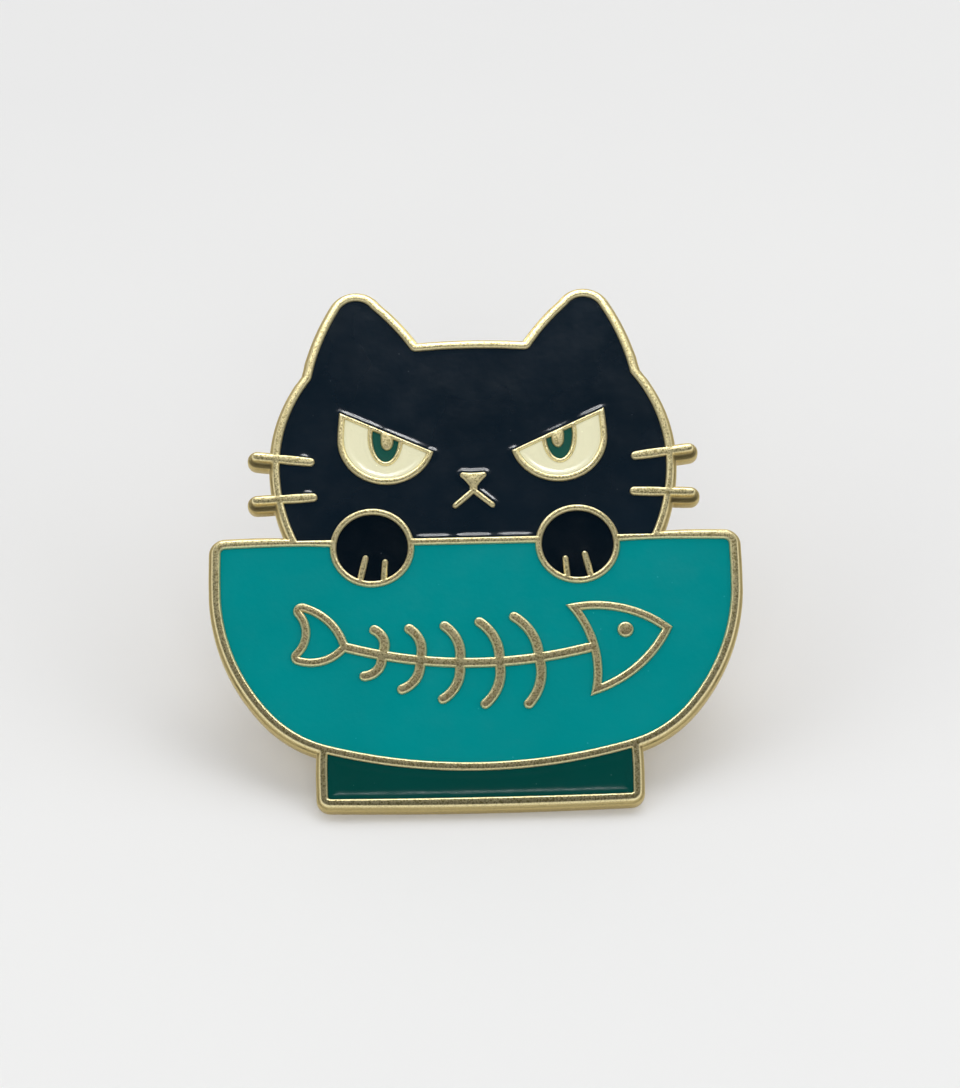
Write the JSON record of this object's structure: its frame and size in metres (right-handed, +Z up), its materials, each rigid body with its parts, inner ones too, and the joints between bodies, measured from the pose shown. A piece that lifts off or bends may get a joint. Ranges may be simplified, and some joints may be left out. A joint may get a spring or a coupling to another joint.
{
  "type": "enamel pin",
  "caption": "Flat enamelled lapel pin of a cat peering over a bowl, with needle posts on its back and butterfly clutches that pull off.",
  "frame": {"origin": "on the plate's flat back, midway between the two needle posts", "axes": "+Z up as the pin is worn, the enamelled front faces -Y, the needles point along +Y, +X to the right seen from the front"},
  "size_m": [0.0326, 0.0089, 0.0341],
  "materials": {
    "plated_plate": "pale gold plating, fine sand grain",
    "navy_enamel": "glossy soft enamel",
    "teal_enamel": "glossy soft enamel",
    "green_enamel": "glossy soft enamel",
    "iris_enamel": "glossy soft enamel",
    "cream_enamel": "glossy soft enamel",
    "needle": "gold plated steel needle",
    "solder": "dull soft solder",
    "clutch_brass": "stamped yellow brass",
    "clutch_cap_brass": "stamped yellow brass",
    "clutch_spring": "sprung brass strip"
  },
  "bodies": {
    "pin": {"pin_body": "plated_plate", "head_enamel": "navy_enamel", "left_paw_enamel": "navy_enamel", "right_paw_enamel": "navy_enamel", "left_eye_enamel": "cream_enamel", "right_eye_enamel": "cream_enamel", "left_iris_enamel": "iris_enamel", "right_iris_enamel": "iris_enamel", "bowl_enamel": "teal_enamel", "fish_head_enamel": "teal_enamel", "fish_tail_enamel": "teal_enamel", "foot_enamel": "green_enamel", "left_post": "needle", "left_post_solder": "solder", "right_post": "needle", "right_post_solder": "solder"},
    "left_clutch_disc": {"left_clutch_base": "clutch_brass"},
    "left_clutch_hub": {"left_clutch_cap": "clutch_cap_brass"},
    "left_lower_wing": {"left_clutch_lower_wing": "clutch_spring"},
    "left_upper_wing": {"left_clutch_upper_wing": "clutch_spring"},
    "right_clutch_disc": {"right_clutch_base": "clutch_brass"},
    "right_clutch_hub": {"right_clutch_cap": "clutch_cap_brass"},
    "right_lower_wing": {"right_clutch_lower_wing": "clutch_spring"},
    "right_upper_wing": {"right_clutch_upper_wing": "clutch_spring"}
  },
  "joints": [
    {"name": "left_clutch_pull_off", "type": "slide", "parent": "pin", "child": "left_clutch_disc", "axis": [0, 1, 0], "range_m": [0, 0.012]},
    {"name": "left_clutch_turn", "type": "hinge", "parent": "left_clutch_disc", "child": "left_clutch_hub", "pos_m": [-0.007, 0.0035, 0], "axis": [0, 1, 0], "continuous": true},
    {"name": "left_lower_wing_squeeze", "type": "slide", "parent": "left_clutch_hub", "child": "left_lower_wing", "axis": [0, 0, 1], "range_m": [0, 0.0007], "stiffness_N_per_m": 2000},
    {"name": "left_upper_wing_squeeze", "type": "slide", "parent": "left_clutch_hub", "child": "left_upper_wing", "axis": [0, 0, -1], "range_m": [0, 0.0007], "stiffness_N_per_m": 2000},
    {"name": "right_clutch_pull_off", "type": "slide", "parent": "pin", "child": "right_clutch_disc", "axis": [0, 1, 0], "range_m": [0, 0.012]},
    {"name": "right_clutch_turn", "type": "hinge", "parent": "right_clutch_disc", "child": "right_clutch_hub", "pos_m": [0.007, 0.0035, 0], "axis": [0, 1, 0], "continuous": true},
    {"name": "right_lower_wing_squeeze", "type": "slide", "parent": "right_clutch_hub", "child": "right_lower_wing", "axis": [0, 0, 1], "range_m": [0, 0.0007], "stiffness_N_per_m": 2000},
    {"name": "right_upper_wing_squeeze", "type": "slide", "parent": "right_clutch_hub", "child": "right_upper_wing", "axis": [0, 0, -1], "range_m": [0, 0.0007], "stiffness_N_per_m": 2000}
  ],
  "couplings": [
    {"joint": "left_upper_wing_squeeze", "follows": "left_lower_wing_squeeze", "ratio": 1},
    {"joint": "right_upper_wing_squeeze", "follows": "right_lower_wing_squeeze", "ratio": 1}
  ]
}
